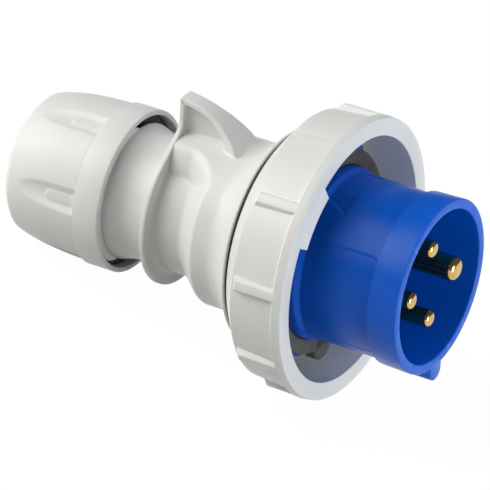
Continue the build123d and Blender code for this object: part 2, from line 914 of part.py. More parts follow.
def build():
    """All nodes in the plug's own frame."""
    pieces = {
        "housing": housing(),
        "shroud_insert": shroud_insert(),
        "bayonet_collar": bayonet_collar(),
        "gland_nut": gland_nut(),
        "flange_gasket": flange_gasket(),
        "housing_seal": housing_seal(),
        "nut_seal": nut_seal(),
        "rim_seal": rim_seal(),
        "pin_retainer": pin_retainer(),
        "retainer_screws": retainer_screws(),
        "cable_clamp": cable_clamp(),
        "cable_grommet": cable_grommet(),
        "slip_washer": slip_washer(),
        "pin_earth": at_clock(pin(earth_pin_radius, earth_pin_recess, earth_wire_radius), earth_pin_clock),
        "terminal_screw_earth": at_clock(terminal_screw(earth_wire_radius), earth_pin_clock),
    }
    for number, clock in enumerate(line_pin_clocks, start=1):
        line_pin = pin(line_pin_radius, line_pin_recess, line_wire_radius)
        pieces[f"pin_line_{number}"] = at_clock(line_pin, clock)
        pieces[f"terminal_screw_line_{number}"] = at_clock(terminal_screw(line_wire_radius), clock)
    return pieces


roll, tilt, height = rest_angles()
pieces = build()
turn = Rot(0, -tilt, 0) * Rot(roll, 0, 0)
laid = {name: Pos(0, 0, height) * turn * shape for name, shape in pieces.items()}
box = Compound([solid for shape in laid.values() for solid in shape.solids()]).bounding_box()
shift = Pos(-box.center().X, -box.center().Y, 0)
print("roll", roll, "tilt", tilt, "height", height, "box", box.min, box.max)
os.makedirs("parts", exist_ok=True)
for name, shape in laid.items():
    export_step(shift * shape, f"parts/{name}.step")
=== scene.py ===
"""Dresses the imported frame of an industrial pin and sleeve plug: light grey moulded housing with
a finger fin, ribbed bayonet collar, fluted gland nut, and a blue shroud with four brass pins.

Pieces are modelled in the plug's own frame, in millimetres. x runs along the plug and is zero
at the shroud's mouth, +X is the way the plug goes in, and +Z is the side of the finger fin.
A clock angle is counted from +Z towards -Y, in degrees.
"""

import json
import math

import bmesh
import bpy
from mathutils import Matrix, Vector


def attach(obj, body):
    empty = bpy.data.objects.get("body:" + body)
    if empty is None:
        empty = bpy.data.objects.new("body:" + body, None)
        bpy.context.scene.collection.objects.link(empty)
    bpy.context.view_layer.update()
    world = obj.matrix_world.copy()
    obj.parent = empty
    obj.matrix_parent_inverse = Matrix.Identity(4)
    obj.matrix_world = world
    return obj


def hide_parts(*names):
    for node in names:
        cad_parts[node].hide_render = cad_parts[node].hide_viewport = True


bl_info = {
    "name": "Pin and Sleeve Plug",
    "version": (1, 0, 0),
    "blender": (4, 5, 0),
    "location": "View3D > Sidebar > Plug",
    "description": "Builds the visible pieces of an industrial plug round its packed frame",
    "category": "Object",
}

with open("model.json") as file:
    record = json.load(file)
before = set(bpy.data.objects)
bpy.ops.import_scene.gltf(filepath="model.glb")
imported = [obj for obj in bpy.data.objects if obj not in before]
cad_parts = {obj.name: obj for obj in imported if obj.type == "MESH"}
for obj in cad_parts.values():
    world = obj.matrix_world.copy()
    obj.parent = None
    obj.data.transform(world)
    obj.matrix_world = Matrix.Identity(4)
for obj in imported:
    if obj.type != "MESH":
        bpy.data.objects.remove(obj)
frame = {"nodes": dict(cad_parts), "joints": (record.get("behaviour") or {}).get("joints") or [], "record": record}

MM = 0.001
MERGE = 0.0004
SHARP_ANGLE = math.radians(38)
FINE_STEPS = 432
ROUND_STEPS = 216
PIN_STEPS = 64


def plug_place():
    """Matrix from the plug's own frame in millimetres to the row frame in metres."""
    joint = next(j for j in frame["joints"] if j["name"] == "collar_turn")
    mounts = {m["name"]: Vector(m["pos_m"]) for m in frame["record"]["mounts"]}
    axis = Vector(joint["axis"]).normalized()
    centre = Vector(joint["pos_m"])
    mouth = centre + axis * (mounts["shroud_mouth"] - centre).dot(axis)
    up = mounts["line_pin_1"] - mouth
    up = (up - axis * up.dot(axis)).normalized()
    place = Matrix((axis, up.cross(axis), up)).transposed().to_4x4()
    place.translation = mouth
    return place @ Matrix.Scale(MM, 4)


PLACE = plug_place()
TURN = PLACE.to_3x3() * (1 / MM)


# Sizes and colours that a user would change


def length(name, description, millimetres):
    """Length property, given in millimetres and kept in metres."""
    return bpy.props.FloatProperty(
        name=name, description=description, default=millimetres * MM, subtype="DISTANCE",
        unit="LENGTH", precision=5,
    )


def angle(name, description, degrees):
    """Angle property, given in degrees."""
    return bpy.props.FloatProperty(
        name=name, description=description, default=math.radians(degrees), subtype="ANGLE",
        unit="ROTATION",
    )


def colour(name, description, value):
    """Colour property in linear light."""
    return bpy.props.FloatVectorProperty(
        name=name, description=description, default=value, subtype="COLOR", size=3,
        min=0.0, max=1.0,
    )


class Millimetres:
    """Reads the lengths of a settings group in millimetres."""

    def __init__(self, settings):
        self.settings = settings

    def __getattr__(self, name):
        return getattr(self.settings, name) / MM


class HousingSettings(bpy.types.PropertyGroup):
    barrel_radius: length("Barrel radius", "Round part between rim and fin", 24.1)
    rim_radius: length("Rim radius", "Flared rim against the collar", 30.5)
    scoop_radius: length("Scoop floor", "Radius at the floor of the finger scoop", 18.4)
    scoop_width: length("Scoop width", "From the middle of the scoop to its front edge", 9.4)
    neck_radius: length("Neck radius", "Waist behind the guard disc", 18.0)
    lip_radius: length("Lip radius", "Rear lip in front of the gland nut", 19.5)
    disc_radius: length("Disc radius", "Guard disc behind the scoop", 22.7)
    disc_thickness: length("Disc thickness", "Guard disc, along the plug", 1.6)
    fin_height: length("Fin height", "Top of the finger fin from the axis", 34.8)
    fin_width: length("Fin width", "Width of the fin at its back", 5.4)
    fin_band: length("Fin band", "Thickness of the band round the fin", 1.75)
    fin_web: length("Fin web", "Thickness of the web under the band", 1.6)
    scoop_start: angle("Scoop start", "Clock angle where the scoop is at full width", 40)


class CollarSettings(bpy.types.PropertyGroup):
    face_radius: length("Face radius", "Outer edge of the front face", 40.2)
    mouth_radius: length("Mouth radius", "Inner edge of the front face", 35.15)
    band_radius: length("Band radius", "Smooth band behind the face", 40.5)
    rib_back_radius: length("Rib end radius", "Crest of a grip rib at its back", 40.3)
    rib_width: length("Rib width", "Crest of one grip rib", 2.66)
    tab_radius: length("Tab radius", "Inner edge of the bayonet tabs", 30.8)
    ribs: bpy.props.IntProperty(name="Ribs", description="Grip ribs", default=10, min=3)


class NutSettings(bpy.types.PropertyGroup):
    ring_radius: length("Ring radius", "Smooth front ring of the nut", 23.4)
    cap_radius: length("Cap radius", "Front end of the fluted cap", 22.85)
    flute_radius: length("Flute radius", "Roundness of a flute across", 6.0)
    cable_radius: length("Cable hole", "Radius of the hole for the cable", 9.0)
    flutes: bpy.props.IntProperty(name="Flutes", description="Grip flutes", default=6, min=2)
    flute_phase: angle("Flute phase", "Clock angle of the first flute", 19.5)


class ShroudSettings(bpy.types.PropertyGroup):
    mouth_radius: length("Mouth radius", "Outer radius at the mouth", 25.0)
    wall: length("Wall", "Thickness at the mouth", 2.85)
    neck_radius: length("Neck radius", "Shroud behind the front ring", 23.7)
    panel_depth: length("Panel depth", "Depth of the bare recessed panel", 0.16)
    arrow_depth: length("Arrow depth", "Depth of the two arrow marks", 0.4)
    line_pin_radius: length("Line pin", "Radius of the three thinner pins", 2.5)
    earth_pin_radius: length("Earth pin", "Radius of the thicker pin", 3.5)
    pin_circle: length("Pin circle", "Radius of the circle that the pins stand on", 10.9)


class FinishSettings(bpy.types.PropertyGroup):
    shell: colour("Shell", "Light grey moulded plastic", (0.755, 0.75, 0.725))
    shroud: colour("Shroud", "Blue moulded plastic", (0.0, 0.108, 0.63))
    gasket: colour("Gasket", "Dark grey rubber", (0.075, 0.07, 0.064))
    rubber: colour("Rubber", "Black rubber", (0.012, 0.012, 0.013))
    brass: colour("Brass", "Contact pins", (0.7, 0.46, 0.165))
    steel: colour("Steel", "Screws", (0.56, 0.56, 0.55))
    inner: colour("Inner plastic", "Clamp, washer and pin retainer", (0.05, 0.05, 0.052))
    grain: length("Grain", "Size of the fine moulded grain", 0.22)


class StageSettings(bpy.types.PropertyGroup):
    key_power: bpy.props.FloatProperty(
        name="Key light", description="Soft lamp in front, high on the left", default=5.5, min=0.0
    )
    left_power: bpy.props.FloatProperty(
        name="Left light", description="Soft warm lamp low on the left", default=7.8, min=0.0
    )
    right_power: bpy.props.FloatProperty(
        name="Right light", description="Soft lamp on the right", default=8.7, min=0.0
    )
    back_power: bpy.props.FloatProperty(
        name="Back light", description="Soft cool lamp behind", default=3.8, min=0.0
    )
    sky_strength: bpy.props.FloatProperty(
        name="Sky", description="Even light from all round", default=0.07, min=0.0
    )
    sky_gloss: bpy.props.FloatProperty(
        name="Sky in gloss", description="White room that metal and gloss mirror", default=0.13,
        min=0.0,
    )
    floor: colour("Floor", "Plain pale floor", (0.45, 0.45, 0.45))


# Modelling helpers


def polar(co):
    """Radius and clock angle, in degrees from -180 to 180, of a point in the plug's frame."""
    return math.hypot(co.y, co.z), math.degrees(math.atan2(-co.y, co.z))


def set_radius(vert, radius):
    """Moves a vertex straight in or out, to that distance from the plug's axis."""
    factor = radius / math.hypot(vert.co.y, vert.co.z)
    vert.co.y *= factor
    vert.co.z *= factor


def smooth_max(a, b, width):
    """Larger of two values, blended over a width."""
    h = max(width - abs(a - b), 0.0) / width
    return max(a, b) + h * h * width / 4


def smooth_min(a, b, width):
    """Smaller of two values, blended over a width."""
    return -smooth_max(-a, -b, width)


def smooth_step(low, high, value):
    """0 below low, 1 above high, smooth between."""
    t = min(1.0, max(0.0, (value - low) / (high - low)))
    return t * t * (3 - 2 * t)


def wire_loop(bm, corners, segments, place):
    """Closed wire through corners; each is two lengths and the width of its round."""
    ring = [bm.verts.new(place(a, b)) for a, b, _ in corners]
    for a, b in zip(ring, ring[1:] + ring[:1]):
        bm.edges.new((a, b))
    for vert, (_, _, width) in zip(ring, corners):
        if width:
            bmesh.ops.bevel(
                bm, geom=[vert], offset=width, segments=segments, profile=0.5,
                affect="VERTICES", material=-1,
            )


def spun(corners, steps=ROUND_STEPS, fine=None, segments=4):
    """Closed ring spun about the plug's axis; each corner is x, r and the width of its round.
    fine is (lowest x, highest x, spacing): edges there are divided for a relief."""
    bm = bmesh.new()
    wire_loop(bm, corners, segments, lambda x, r: (x, 0.0, r))
    if fine:
        low, high, spacing = fine
        for edge in list(bm.edges):
            xs = sorted(v.co.x for v in edge.verts)
            outside = min(v.co.z for v in edge.verts) > fine_floor(corners)
            cuts = int((xs[1] - xs[0]) / spacing)
            if outside and cuts and xs[0] > low and xs[1] < high:
                bmesh.ops.subdivide_edges(bm, edges=[edge], cuts=cuts)
    bmesh.ops.spin(
        bm, geom=bm.verts[:] + bm.edges[:], cent=(0, 0, 0), axis=(1, 0, 0),
        angle=math.tau, steps=steps, use_merge=True,
    )
    return bm


def fine_floor(corners):
    """Radius above which a profile's edges belong to its outer skin."""
    radii = [r for _, r, _ in corners]
    return (min(radii) + max(radii)) / 2 * 0.96


def add(bm, part):
    """Puts a finished part into a bmesh."""
    mesh = bpy.data.meshes.new("part")
    part.to_mesh(mesh)
    part.free()
    bm.from_mesh(mesh)
    bpy.data.meshes.remove(mesh)


def thickened(bm, vector):
    """Turns a flat face into a solid, extruded along a vector."""
    grown = bmesh.ops.extrude_face_region(bm, geom=bm.faces[:], use_keep_orig=True)
    moved = [g for g in grown["geom"] if isinstance(g, bmesh.types.BMVert)]
    bmesh.ops.translate(bm, verts=moved, vec=vector)
    bmesh.ops.recalc_face_normals(bm, faces=bm.faces)


def extruded(corners, vector, segments=6):
    """Solid along x from an outline of corners: y, z and the width of each round."""
    bm = bmesh.new()
    wire_loop(bm, corners, segments, lambda y, z: (0.0, y, z))
    bmesh.ops.edgenet_fill(bm, edges=bm.edges[:])
    thickened(bm, vector)
    return bm


def cove(height, size):
    """How far a fillet of that size stands out at a height above its foot."""
    rest = size - min(size, max(0.0, height))
    return size - math.sqrt(size**2 - rest**2)


def flared_foot(bm, radius, size):
    """Spreads a part outwards just above a round skin, as a moulded fillet does."""
    bm.normal_update()
    moves = []
    for vert in bm.verts:
        outward = Vector((0.0, vert.co.y, vert.co.z)).normalized()
        height = math.hypot(vert.co.y, vert.co.z) - radius
        along = vert.normal - outward * vert.normal.dot(outward)
        if height < size and along.length > 0.3:
            moves.append((vert, along * cove(height, size)))
    for vert, move in moves:
        vert.co += move


def rounded(bm, edges, width, segments=3):
    """Bevels edges with a round."""
    bmesh.ops.bevel(
        bm, geom=edges, offset=width, segments=segments, profile=0.5, affect="EDGES",
        material=-1, clamp_overlap=True,
    )


def turned_to(bm, clock, verts=None):
    """Turns a part that was built at clock zero to a clock angle."""
    bmesh.ops.rotate(
        bm, verts=verts or bm.verts, cent=(0, 0, 0),
        matrix=Matrix.Rotation(math.radians(clock), 3, "X"),
    )


def copied_round(bm, count, phase):
    """Turns a part to the phase and repeats it evenly round the plug."""
    turned_to(bm, phase)
    bmesh.ops.spin(
        bm, geom=bm.verts[:] + bm.edges[:] + bm.faces[:], cent=(0, 0, 0), axis=(1, 0, 0),
        angle=math.tau * (count - 1) / count, steps=count - 1, use_duplicate=True,
    )


def wrapped(bm):
    """Bends a part round the plug: y is the length along the arc, z the radius."""
    for vert in bm.verts:
        turn = vert.co.y / vert.co.z
        radius = vert.co.z
        vert.co.y = radius * math.sin(turn)
        vert.co.z = radius * math.cos(turn)


def finish_piece(name, bm, body, material, replaced=()):
    """Cleans a mesh, lays it in the row frame and makes it a piece that rides on its body."""
    bmesh.ops.remove_doubles(bm, verts=bm.verts, dist=MERGE)
    bmesh.ops.dissolve_degenerate(bm, edges=bm.edges, dist=MERGE)
    bmesh.ops.recalc_face_normals(bm, faces=bm.faces)
    bm.transform(PLACE)
    mesh = bpy.data.meshes.new(name)
    bm.to_mesh(mesh)
    bm.free()
    mesh.shade_smooth()
    mesh.set_sharp_from_angle(angle=SHARP_ANGLE)
    mesh.materials.append(material)
    piece = bpy.data.objects.new(name, mesh)
    bpy.context.scene.collection.objects.link(piece)
    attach(piece, body)
    if replaced:
        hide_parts(*replaced)
    return piece


# Finishes


def new_material(name):
    """Empty node material with its principled shader."""
    material = bpy.data.materials.new(name)
    material.use_nodes = True
    nodes = material.node_tree.nodes
    nodes.clear()
    shader = nodes.new("ShaderNodeBsdfPrincipled")
    output = nodes.new("ShaderNodeOutputMaterial")
    material.node_tree.links.new(shader.outputs["BSDF"], output.inputs["Surface"])
    return material, shader


def noise(material, scale, detail=2.0):
    """Noise on the piece's own coordinates; scale is per metre."""
    tree = material.node_tree
    place = tree.nodes.new("ShaderNodeTexCoord")
    texture = tree.nodes.new("ShaderNodeTexNoise")
    texture.inputs["Scale"].default_value = scale
    texture.inputs["Detail"].default_value = detail
    tree.links.new(place.outputs["Object"], texture.inputs["Vector"])
    return texture.outputs["Fac"]


def ranged(material, value, low, high, start=0.35, stop=0.65):
    """Maps a value from start..stop to low..high."""
    node = material.node_tree.nodes.new("ShaderNodeMapRange")
    for socket, number in (
        ("From Min", start), ("From Max", stop), ("To Min", low), ("To Max", high)
    ):
        node.inputs[socket].default_value = number
    material.node_tree.links.new(value, node.inputs["Value"])
    return node.outputs["Result"]


def blended(material, factor, first, second):
    """Mix of two colours by a factor; a mix node's colour sockets are 6, 7 and, out, 2."""
    node = material.node_tree.nodes.new("ShaderNodeMix")
    node.data_type = "RGBA"
    material.node_tree.links.new(factor, node.inputs["Factor"])
    for socket, value in ((node.inputs[6], first), (node.inputs[7], second)):
        if isinstance(value, bpy.types.NodeSocket):
            material.node_tree.links.new(value, socket)
        else:
            socket.default_value = (*value, 1.0)
    return node.outputs[2]


def bumped(material, shader, height, strength, distance):
    """Bump from a height value, into the shader's normal."""
    node = material.node_tree.nodes.new("ShaderNodeBump")
    node.inputs["Strength"].default_value = strength
    node.inputs["Distance"].default_value = distance
    material.node_tree.links.new(height, node.inputs["Height"])
    material.node_tree.links.new(node.outputs["Normal"], shader.inputs["Normal"])


def moulded_plastic(name, tone, roughness, grain, flow=0.03, edge_highlight=0.1, bump=0.12, shine=0.5):
    """Moulded plastic: fine grain, faint flow marks, and a painted highlight that lightens its sharp edges."""
    material, shader = new_material(name)
    shader.inputs["Specular IOR Level"].default_value = shine
    dark = tuple(c * (1 - flow) for c in tone)
    base = blended(material, ranged(material, noise(material, 38.0, 3.0), 0, 1), dark, tone)
    shape = material.node_tree.nodes.new("ShaderNodeNewGeometry")
    # Painted highlight: edges that pointiness finds sharp are mixed towards white.
    highlight_tone = tuple(c + (1 - c) * edge_highlight for c in tone)
    edge = ranged(material, shape.outputs["Pointiness"], 0, 1, 0.515, 0.58)
    material.node_tree.links.new(
        blended(material, edge, base, highlight_tone), shader.inputs["Base Color"]
    )
    rough = ranged(material, noise(material, 260.0, 3.0), roughness - 0.04, roughness + 0.05)
    material.node_tree.links.new(rough, shader.inputs["Roughness"])
    bumped(material, shader, noise(material, 1 / grain, 2.0), bump, 0.00002)
    return material


def rubber_finish(name, tone, roughness):
    """Dull rubber with a dusty bloom."""
    material, shader = new_material(name)
    dusty = tuple(c * 1.35 + 0.004 for c in tone)
    base = blended(material, ranged(material, noise(material, 140.0, 4.0), 0, 1), tone, dusty)
    material.node_tree.links.new(base, shader.inputs["Base Color"])
    rough = ranged(material, noise(material, 700.0), roughness - 0.06, roughness + 0.06)
    material.node_tree.links.new(rough, shader.inputs["Roughness"])
    bumped(material, shader, noise(material, 3000.0), 0.2, 0.00003)
    return material


def turned_metal(name, tone, roughness):
    """Bright metal with fine turning marks across the axis."""
    material, shader = new_material(name)
    shader.inputs["Metallic"].default_value = 1.0
    dull = tuple(c * 0.9 for c in tone)
    base = blended(material, ranged(material, noise(material, 300.0, 3.0), 0, 1), dull, tone)
    material.node_tree.links.new(base, shader.inputs["Base Color"])
    rough = ranged(material, noise(material, 900.0), roughness - 0.03, roughness + 0.05)
    material.node_tree.links.new(rough, shader.inputs["Roughness"])
    tree = material.node_tree
    place = tree.nodes.new("ShaderNodeTexCoord")
    lay = tree.nodes.new("ShaderNodeMapping")
    lay.inputs["Rotation"].default_value = TURN.transposed().to_euler()
    lay.inputs["Scale"].default_value = (9000.0, 30.0, 30.0)
    marks = tree.nodes.new("ShaderNodeTexNoise")
    marks.inputs["Scale"].default_value = 1.0
    tree.links.new(place.outputs["Object"], lay.inputs["Vector"])
    tree.links.new(lay.outputs["Vector"], marks.inputs["Vector"])
    bumped(material, shader, marks.outputs["Fac"], 0.02, 0.00001)
    return material


FINISHES = {}


def finish(slot):
    """Material for a slot of the record, made once."""
    if slot not in FINISHES:
        s = bpy.context.scene.plug_finish
        makers = {
            "shell_grey": lambda: moulded_plastic("shell_plastic", s.shell, 0.42, s.grain),
            # The blue plastic gets a fainter painted highlight on its edges.
            "shroud_blue": lambda: moulded_plastic(
                "shroud_plastic", s.shroud, 0.33, s.grain, flow=0.06, edge_highlight=0.05, shine=0.22
            ),
            "inner_plastic": lambda: moulded_plastic("inner_plastic", s.inner, 0.5, s.grain),
            "gasket_rubber": lambda: rubber_finish("gasket_rubber", s.gasket, 0.7),
            "black_rubber": lambda: rubber_finish("black_rubber", s.rubber, 0.6),
            "pin_brass": lambda: turned_metal("pin_brass", s.brass, 0.16),
            "screw_steel": lambda: turned_metal("screw_steel", s.steel, 0.28),
        }
        FINISHES[slot] = makers[slot]()
    return FINISHES[slot]


# Places along the plug, in millimetres from the shroud's mouth

# Shroud and pins
FRONT_RING_X = -9.05
SHROUD_PANEL_X = -19.95
ARROW_BASE_X = -24.2
NECK_END_X = -30.7
ARROW_POINT_X = -30.8
BASE_RING_X = -32.0
FLOOR_X = -37.0
FLANGE_X = -38.0
FLANGE_BACK_X = -40.6
BLOCK_BACK_X = -47.5
SPIGOT_BACK_X = -52.0
PIN_BACK_X = -62.5

# Collar
COLLAR_FACE_X = -27.1
BAND_BACK_X = -29.8
PANEL_X = -30.4
COLLAR_STEP_X = -40.9
RIB_CREST_BACK_X = -41.8
RIB_BACK_X = -43.4
PANEL_BACK_X = -43.8
COLLAR_FLOOR_X = -46.0
COLLAR_BACK_X = -49.2

# Housing
HUB_X = -42.1
RIM_X = -50.45
BEAD_BACK_X = -51.1
SOCKET_BACK_X = -53.0
FLARE_X = -55.6
FIN_FOOT_X = -63.4
SCOOP_X = -74.5
FIN_FLARE_X = -77.0
DISC_X = -80.4
NECK_X = -82.0
LIP_X = -95.2
LIP_BACK_X = -96.3
LEDGE_X = -96.0
LEDGE_BACK_X = -97.6
GROMMET_SEAT_X = -105.0
CLAW_SEAT_X = -107.0
BOSS_BACK_X = -113.0
FIN_ARC_X, FIN_ARC_Z = -82.63, 8.85

# Gland nut and its seal
SEAL_BACK_X = -99.5
RING_BACK_X = -103.2
CAP_X = -104.4
THREAD_BACK_X = -114.0
NUT_FLOOR_X = -123.4
NUT_EDGE_X = -126.0
NUT_BACK_X = -129.0

# Radii of what fits together, in millimetres

HUB_R = 27.4
SOCKET_R = 23.55
SPIGOT_R = 23.5
SPIGOT_BORE_R = 19.8
FLANGE_R = 29.6
COLLAR_BORE_R = 27.5
COLLAR_POCKET_R = 29.4
COLLAR_BACK_R = 31.0
BARREL_BORE_R = 21.2
NECK_BORE_R = 15.4
CABLE_BORE_R = 12.4
GROMMET_R = 13.5
CLAW_R = 15.0
BOSS_R = 17.0
NUT_BORE_R = 17.1
WASHER_R = 15.6

# Clock angles, in degrees

RIB_CLOCK = 9
TAB_CLOCKS = (45, 225)
ARROW_CLOCKS = (21.0, -22.5)
CATCH_CLOCKS = (154, 167, 316)
LOBE_CLOCK = 177
LEDGE_CLOCKS = (-8, 156)


# Housing


def scoop_relief(x, clock, s, start):
    """Radius of the housing's skin in and round the finger scoop."""
    power, slope = 1.45, 0.84
    floor_blend, disc_cove = 0.5, 1.5
    away = max(0.0, math.radians(start - abs(clock)) * s.barrel_radius)
    across = max(0.0, x - SCOOP_X)
    from_middle = (across**power + away**power) ** (1 / power)
    half_floor = s.scoop_width - (s.barrel_radius - s.scoop_radius) / slope
    wall = s.scoop_radius + slope * (from_middle - half_floor)
    wall = smooth_max(wall, s.scoop_radius, floor_blend)
    wall = max(wall, s.scoop_radius + cove(x - DISC_X, disc_cove))
    edge_blend = 1.3 - 0.75 * smooth_step(26, 52, abs(clock))
    return smooth_min(s.barrel_radius, wall, edge_blend)


def housing_shell(s, start):
    """Hub, flared rim, barrel with its scoop, neck, rear lip, boss and bore."""
    bm = spun(
        (
            (HUB_X, SOCKET_R, 0),
            (HUB_X, HUB_R, 0.3),
            (RIM_X, HUB_R, 0),
            (RIM_X, s.rim_radius, 0.22),
            (BEAD_BACK_X, s.rim_radius, 0.2),
            (BEAD_BACK_X - 0.05, s.rim_radius - 0.6, 0),
            (FLARE_X, s.barrel_radius, 4.6),
            (DISC_X - 0.4, s.barrel_radius, 0),
            (DISC_X - 0.4, s.neck_radius - 1.5, 0),
            (NECK_X + 0.4, s.neck_radius - 1.5, 0),
            (NECK_X + 0.4, s.neck_radius + 2.4, 0),
            (NECK_X - 0.05, s.neck_radius + 1.9, 0),
            (NECK_X - 0.5, s.neck_radius, 1.3),
            (LIP_X + 4.5, s.neck_radius, 1.6),
            (LIP_X, s.lip_radius, 0.3),
            (LIP_BACK_X, s.lip_radius, 0.3),
            (LIP_BACK_X, BOSS_R, 0),
            (BOSS_BACK_X, BOSS_R, 0.4),
            (BOSS_BACK_X, CLAW_R, 0.3),
            (CLAW_SEAT_X, CLAW_R, 0),
            (CLAW_SEAT_X, GROMMET_R, 0),
            (GROMMET_SEAT_X, GROMMET_R, 0),
            (GROMMET_SEAT_X, CABLE_BORE_R, 0),
            (NECK_X - 7.0, CABLE_BORE_R, 0),
            (NECK_X - 5.0, NECK_BORE_R, 0),
            (SCOOP_X + 3.4, NECK_BORE_R, 0),
            (SCOOP_X + 10.1, BARREL_BORE_R, 0),
            (SOCKET_BACK_X, BARREL_BORE_R, 0),
            (SOCKET_BACK_X, SOCKET_R, 0),
        ),
        steps=FINE_STEPS,
        fine=(DISC_X - 0.5, FLARE_X + 1.6, 0.36),
        segments=8,
    )
    scoop_front = SCOOP_X + 14.5
    for vert in bm.verts:
        radius, clock = polar(vert.co)
        if DISC_X - 0.5 < vert.co.x < scoop_front and radius > s.barrel_radius - 0.01:
            set_radius(vert, scoop_relief(vert.co.x, clock, s, start))
    return bm


def rear_ledge(s):
    """Ledge behind the rear lip, along one side, that runs out at both ends."""
    start, stop = LEDGE_CLOCKS
    inner, outer, sunk = 16.5, 21.5, 0.3
    bm = block_in_sector(LEDGE_BACK_X, LEDGE_X, inner, outer, start, stop, 96)
    for vert in bm.verts:
        radius, clock = polar(vert.co)
        left = smooth_step(start, start + 22, clock) * (1 - smooth_step(stop - 24, stop, clock))
        if radius > s.lip_radius:
            set_radius(vert, s.lip_radius - sunk + (radius - s.lip_radius + sunk) * left)
    return bm


def thread(radius, depth, x_low, x_high, pitch):
    """Ridge of a screw thread round the boss, closed at both ends."""
    bm = bmesh.new()
    half = pitch * 0.28
    ridge = (
        (x_low - half, radius - depth, 0), (x_low - half * 0.4, radius, 0),
        (x_low + half * 0.4, radius, 0), (x_low + half, radius - depth, 0),
    )
    wire_loop(bm, ridge, 1, lambda x, r: (x, 0, r))
    turns = (x_high - x_low) / pitch
    steps = int(turns * 72)
    bmesh.ops.spin(
        bm, geom=bm.verts[:] + bm.edges[:], cent=(0, 0, 0), axis=(1, 0, 0),
        angle=math.tau * turns, steps=steps, dvec=((x_high - x_low) / steps, 0, 0),
    )
    bmesh.ops.holes_fill(bm, edges=[e for e in bm.edges if e.is_boundary], sides=4)
    return bm


def guard_disc(s):
    """Guard disc whose edge leaves the round in straight flanks, up to the fin's rear wall."""
    bm = bmesh.new()
    start, half = math.radians(36), s.fin_width / 2
    bend_round, edge_round = 2.3, 0.42
    side, top = s.disc_radius * math.sin(start), s.disc_radius * math.cos(start)
    first = bm.verts.new((NECK_X, -side, top))
    turned = bmesh.ops.spin(
        bm, geom=[first], cent=(0, 0, 0), axis=(1, 0, 0), angle=math.tau - 2 * start, steps=150
    )
    last = next(g for g in turned["geom_last"] if isinstance(g, bmesh.types.BMVert))
    corner = top + (side - half) * math.tan(start)
    bends = [bm.verts.new((NECK_X, y, corner)) for y in (half, -half)]
    tops = [bm.verts.new((NECK_X, y, s.fin_height)) for y in (half, -half)]
    loop = (last, bends[0], tops[0], tops[1], bends[1], first)
    for a, b in zip(loop, loop[1:]):
        bm.edges.new((a, b))
    bmesh.ops.bevel(
        bm, geom=bends, offset=bend_round, segments=14, profile=0.5, affect="VERTICES",
        material=-1,
    )
    bmesh.ops.edgenet_fill(bm, edges=bm.edges[:])
    thickened(bm, (s.disc_thickness, 0, 0))
    rounded(bm, [e for e in bm.edges if e.calc_face_angle(0) > 1.2], edge_round, 4)
    return bm


def fin_half_width(x, s):
    """Half the fin's width: straight at the back, flaring towards its rounded foot."""
    flare, foot_length, foot_round = 0.0148, 1.9, 1.5
    half = s.fin_width / 2 + flare * max(0.0, x - FIN_FLARE_X) ** 2
    turn_in = min(1.0, max(0.0, (x - FIN_FOOT_X) / foot_length))
    return half - foot_round * (1 - math.sqrt(1 - turn_in**2))


def finger_fin(s):
    """Fin with an outer band and a web, its T section spun along the band's arc."""
    bm = bmesh.new()
    outer = math.hypot(NECK_X - FIN_ARC_X, s.fin_height - FIN_ARC_Z)
    inner = outer - s.fin_band
    web, half, deep = s.fin_web / 2, s.fin_width / 2, 13.2
    first_turn, sweep = 3.2, 54.3
    thick_from, thick_rate = 25, 0.004
    wire_loop(
        bm,
        (
            (deep, -web, 0), (inner, -web, 0.5), (inner, -half, 0.3), (outer, -half, 0.6),
            (outer, half, 0.6), (inner, half, 0.3), (inner, web, 0.5), (deep, web, 0),
        ),
        4,
        lambda reach, y: (FIN_ARC_X, y, FIN_ARC_Z + reach),
    )
    bmesh.ops.edgenet_fill(bm, edges=bm.edges[:])
    centre = (FIN_ARC_X, 0, FIN_ARC_Z)
    bmesh.ops.rotate(
        bm, verts=bm.verts, cent=centre,
        matrix=Matrix.Rotation(math.radians(first_turn), 3, "Y"),
    )
    bmesh.ops.spin(
        bm, geom=bm.faces[:], cent=centre, axis=(0, 1, 0), angle=math.radians(sweep), steps=64
    )
    for vert in bm.verts:
        ahead, up = vert.co.x - FIN_ARC_X, vert.co.z - FIN_ARC_Z
        reach, turn = math.hypot(ahead, up), math.degrees(math.atan2(ahead, up))
        if deep + 0.5 < reach < inner + 0.4:
            thicker = 1 - thick_rate * max(0.0, turn - thick_from) ** 2 / reach
            vert.co.x = FIN_ARC_X + ahead * thicker
            vert.co.z = FIN_ARC_Z + up * thicker
    for cut in range(16):
        bmesh.ops.bisect_plane(
            bm, geom=bm.verts[:] + bm.edges[:] + bm.faces[:], plane_no=(0, 0, 1),
            plane_co=(0, 0, s.barrel_radius - 1.5 + 0.16 * cut),
        )
    for vert in bm.verts:
        side = math.copysign(1, vert.co.y)
        if abs(vert.co.y) > half - 0.5:
            vert.co.y += side * (fin_half_width(vert.co.x, s) - half)
        else:
            from_wall = web + cove(vert.co.x - DISC_X, 1.0)
            vert.co.y = side * max(abs(vert.co.y), from_wall)
    bmesh.ops.recalc_face_normals(bm, faces=bm.faces)
    flared_foot(bm, s.barrel_radius, 0.6)
    return bm


class PLUG_OT_housing(bpy.types.Operator):
    """Build the housing with its scoop, guard disc, finger fin and threaded boss"""

    bl_idname = "plug.housing"
    bl_label = "Housing"

    def execute(self, context):
        settings = context.scene.plug_housing
        s = Millimetres(settings)
        shell = housing_shell(s, math.degrees(settings.scoop_start))
        add(shell, rear_ledge(s))
        finish_piece(
            "housing_shell", shell, "body", finish("shell_grey"), ["housing"]
        )
        guard = guard_disc(s)
        add(guard, finger_fin(s))
        finish_piece("finger_guard", guard, "body", finish("shell_grey"))
        depth, pitch = 0.7, 3.0
        screw = thread(BOSS_R, depth, BOSS_BACK_X + 1.0, LIP_BACK_X - 5.0, pitch)
        finish_piece("boss_thread", screw, "body", finish("shell_grey"))
        return {"FINISHED"}


